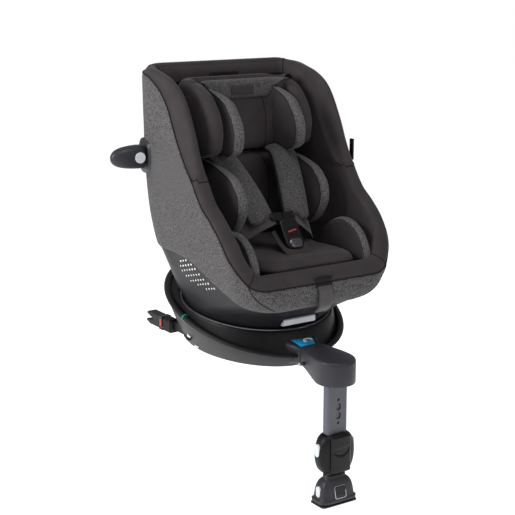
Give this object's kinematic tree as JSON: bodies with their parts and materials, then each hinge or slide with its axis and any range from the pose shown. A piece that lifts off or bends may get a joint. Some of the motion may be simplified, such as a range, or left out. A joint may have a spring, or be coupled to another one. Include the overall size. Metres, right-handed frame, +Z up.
{
  "type": "convertible child car seat",
  "caption": "Child car seat with padded bucket, adjustable headrest and harness on a swivelling ISOFIX base with a folding support leg.",
  "frame": {"origin": "middle of the base's flat underside, which rests on the vehicle seat cushion", "axes": "+Z up; the seat faces -Y when the swivel is at 0, with the support leg at -Y and the ISOFIX arms at +Y; the seated child's right is -X"},
  "size_m": [0.5196, 0.592, 0.912],
  "materials": {
    "black_plastic": "fine texture",
    "buckle_plastic": "satin",
    "casing_plastic": "fine texture",
    "charcoal_fabric": "soft knitted fabric",
    "dark_panel": "satin",
    "foam": "expanded foam beads",
    "heather_fabric": "woven heather fabric",
    "leg_tube": "satin paint",
    "light_button": "satin",
    "shoulder_fabric": "heather fabric on the shoulder pads",
    "silver_trim": "satin",
    "sole_rubber": "moulded rubber",
    "steel": "zinc plated",
    "webbing": "woven harness webbing"
  },
  "bodies": {
    "base": {"base_shell": "casing_plastic", "base_bottom_plate": "casing_plastic", "base_screws": "steel", "leg_mount_lug": "steel", "bearing_race": "casing_plastic", "isofix_guides": "black_plastic"},
    "isofix_arm_right": {"isofix_arm_right": "steel", "isofix_connector_right": "casing_plastic"},
    "isofix_arm_left": {"isofix_arm_left": "steel", "isofix_connector_left": "casing_plastic"},
    "isofix_hook_right": {"isofix_hook_right": "steel"},
    "isofix_hook_left": {"isofix_hook_left": "steel"},
    "isofix_release_right": {"isofix_release_right": "black_plastic"},
    "isofix_release_left": {"isofix_release_left": "black_plastic"},
    "isofix_adjust_button_right": {"isofix_adjust_button_right": "light_button"},
    "isofix_adjust_button_left": {"isofix_adjust_button_left": "light_button"},
    "leg": {"leg_bracket": "casing_plastic", "leg_hinge_pin": "steel", "leg_outer_tube": "leg_tube", "leg_adjuster_housing": "black_plastic"},
    "leg_button_right": {"leg_button_right": "light_button"},
    "leg_button_left": {"leg_button_left": "light_button"},
    "leg_extension": {"leg_inner_tube": "leg_tube", "foot_casing": "casing_plastic", "foot_indicator": "dark_panel", "foot_side_caps": "light_button"},
    "foot_sole": {"foot_sole": "sole_rubber"},
    "turntable": {"turntable": "casing_plastic", "turntable_trim_ring": "silver_trim", "recline_saddle": "casing_plastic"},
    "swivel_release_right": {"swivel_release_right": "black_plastic"},
    "swivel_release_left": {"swivel_release_left": "black_plastic"},
    "recline_handle": {"recline_handle": "light_button"},
    "seat": {"seat_lower_shell": "casing_plastic", "seat_shell": "black_plastic", "seat_floor": "black_plastic", "foam_liner": "foam", "seat_cover": "heather_fabric", "cover_lining": "charcoal_fabric", "seat_cushion": "charcoal_fabric", "insert_back_pad": "charcoal_fabric", "insert_seat_pad": "charcoal_fabric", "buckle_housing": "buckle_plastic", "crotch_strap": "webbing", "lap_straps": "webbing", "adjuster_strap": "webbing", "pod_socket": "casing_plastic", "strap_guide": "black_plastic"},
    "buckle_button": {"buckle_button": "buckle_plastic"},
    "tongue_right": {"tongue_right": "steel"},
    "tongue_left": {"tongue_left": "steel"},
    "adjuster_button": {"adjuster_button": "black_plastic"},
    "headrest": {"headrest_shell": "black_plastic", "headrest_pad": "charcoal_fabric", "head_insert": "charcoal_fabric", "shoulder_pad_left": "shoulder_fabric", "shoulder_pad_right": "shoulder_fabric"},
    "headrest_release": {"headrest_release": "black_plastic"},
    "side_pod": {"side_pod": "black_plastic"},
    "pod_button": {"pod_button": "light_button"}
  },
  "joints": [
    {"name": "isofix_extend_right", "type": "slide", "parent": "base", "child": "isofix_arm_right", "axis": [0, -1, 0], "range_m": [0, 0.06]},
    {"name": "isofix_hook_right", "type": "hinge", "parent": "isofix_arm_right", "child": "isofix_hook_right", "pos_m": [-0.141, 0.204, 0.027], "axis": [-1, 0, 0], "range_deg": [0, 85]},
    {"name": "isofix_release_right", "type": "slide", "parent": "isofix_arm_right", "child": "isofix_release_right", "axis": [0, -1, 0], "range_m": [0, 0.005]},
    {"name": "isofix_adjust_button_right", "type": "slide", "parent": "base", "child": "isofix_adjust_button_right", "axis": [1, 0, 0], "range_m": [0, 0.003], "stiffness_N_per_m": 600},
    {"name": "leg_button_right", "type": "slide", "parent": "leg", "child": "leg_button_right", "axis": [1, 0, 0], "range_m": [0, 0.003], "stiffness_N_per_m": 600},
    {"name": "swivel_release_right", "type": "slide", "parent": "turntable", "child": "swivel_release_right", "axis": [1, 0, 0], "range_m": [0, 0.003], "stiffness_N_per_m": 600},
    {"name": "tongue_right_release", "type": "slide", "parent": "seat", "child": "tongue_right", "axis": [0, 0.5593, 0.829], "range_m": [0, 0.025]},
    {"name": "isofix_extend_left", "type": "slide", "parent": "base", "child": "isofix_arm_left", "axis": [0, -1, 0], "range_m": [0, 0.06]},
    {"name": "isofix_hook_left", "type": "hinge", "parent": "isofix_arm_left", "child": "isofix_hook_left", "pos_m": [0.141, 0.204, 0.027], "axis": [-1, 0, 0], "range_deg": [0, 85]},
    {"name": "isofix_release_left", "type": "slide", "parent": "isofix_arm_left", "child": "isofix_release_left", "axis": [0, -1, 0], "range_m": [0, 0.005]},
    {"name": "isofix_adjust_button_left", "type": "slide", "parent": "base", "child": "isofix_adjust_button_left", "axis": [-1, 0, 0], "range_m": [0, 0.003], "stiffness_N_per_m": 600},
    {"name": "leg_button_left", "type": "slide", "parent": "leg", "child": "leg_button_left", "axis": [-1, 0, 0], "range_m": [0, 0.003], "stiffness_N_per_m": 600},
    {"name": "swivel_release_left", "type": "slide", "parent": "turntable", "child": "swivel_release_left", "axis": [-1, 0, 0], "range_m": [0, 0.003], "stiffness_N_per_m": 600},
    {"name": "tongue_left_release", "type": "slide", "parent": "seat", "child": "tongue_left", "axis": [0, 0.5593, 0.829], "range_m": [0, 0.025]},
    {"name": "leg_fold", "type": "hinge", "parent": "base", "child": "leg", "pos_m": [0, -0.257, 0.024], "axis": [1, 0, 0], "range_deg": [0, 90]},
    {"name": "leg_extend", "type": "slide", "parent": "leg", "child": "leg_extension", "axis": [0, 0, -1], "range_m": [0, 0.15]},
    {"name": "foot_press", "type": "slide", "parent": "leg_extension", "child": "foot_sole", "axis": [0, 0, 1], "range_m": [0, 0.004], "stiffness_N_per_m": 2500},
    {"name": "swivel", "type": "hinge", "parent": "base", "child": "turntable", "pos_m": [0, -0.024, 0.11], "axis": [0, -0.1633, 0.9866], "continuous": true},
    {"name": "recline_pull", "type": "slide", "parent": "turntable", "child": "recline_handle", "axis": [0, -1, 0], "range_m": [0, 0.012], "stiffness_N_per_m": 300},
    {"name": "recline", "type": "hinge", "parent": "turntable", "child": "seat", "pos_m": [0, -0.07953, 0.44543], "axis": [-1, 0, 0], "range_deg": [0, 20]},
    {"name": "buckle_press", "type": "slide", "parent": "seat", "child": "buckle_button", "axis": [0, 0.829, -0.5593], "range_m": [0, 0.0025], "stiffness_N_per_m": 800},
    {"name": "adjuster_press", "type": "slide", "parent": "seat", "child": "adjuster_button", "axis": [0, 0, -1], "range_m": [0, 0.004], "stiffness_N_per_m": 600},
    {"name": "headrest_height", "type": "slide", "parent": "seat", "child": "headrest", "axis": [0, 0.0375, 0.9993], "range_m": [0, 0.12]},
    {"name": "headrest_release", "type": "slide", "parent": "headrest", "child": "headrest_release", "axis": [0, 0, 1], "range_m": [0, 0.005], "stiffness_N_per_m": 600},
    {"name": "side_pod", "type": "slide", "parent": "seat", "child": "side_pod", "axis": [-1, 0, 0], "range_m": [0, 0.03]},
    {"name": "pod_button", "type": "slide", "parent": "side_pod", "child": "pod_button", "axis": [0, 1, 0], "range_m": [0, 0.003], "stiffness_N_per_m": 600}
  ],
  "couplings": [
    {"joint": "isofix_release_right", "follows": "isofix_hook_right", "m_per_rad": 0.003331},
    {"joint": "isofix_release_left", "follows": "isofix_hook_left", "m_per_rad": 0.003331}
  ]
}
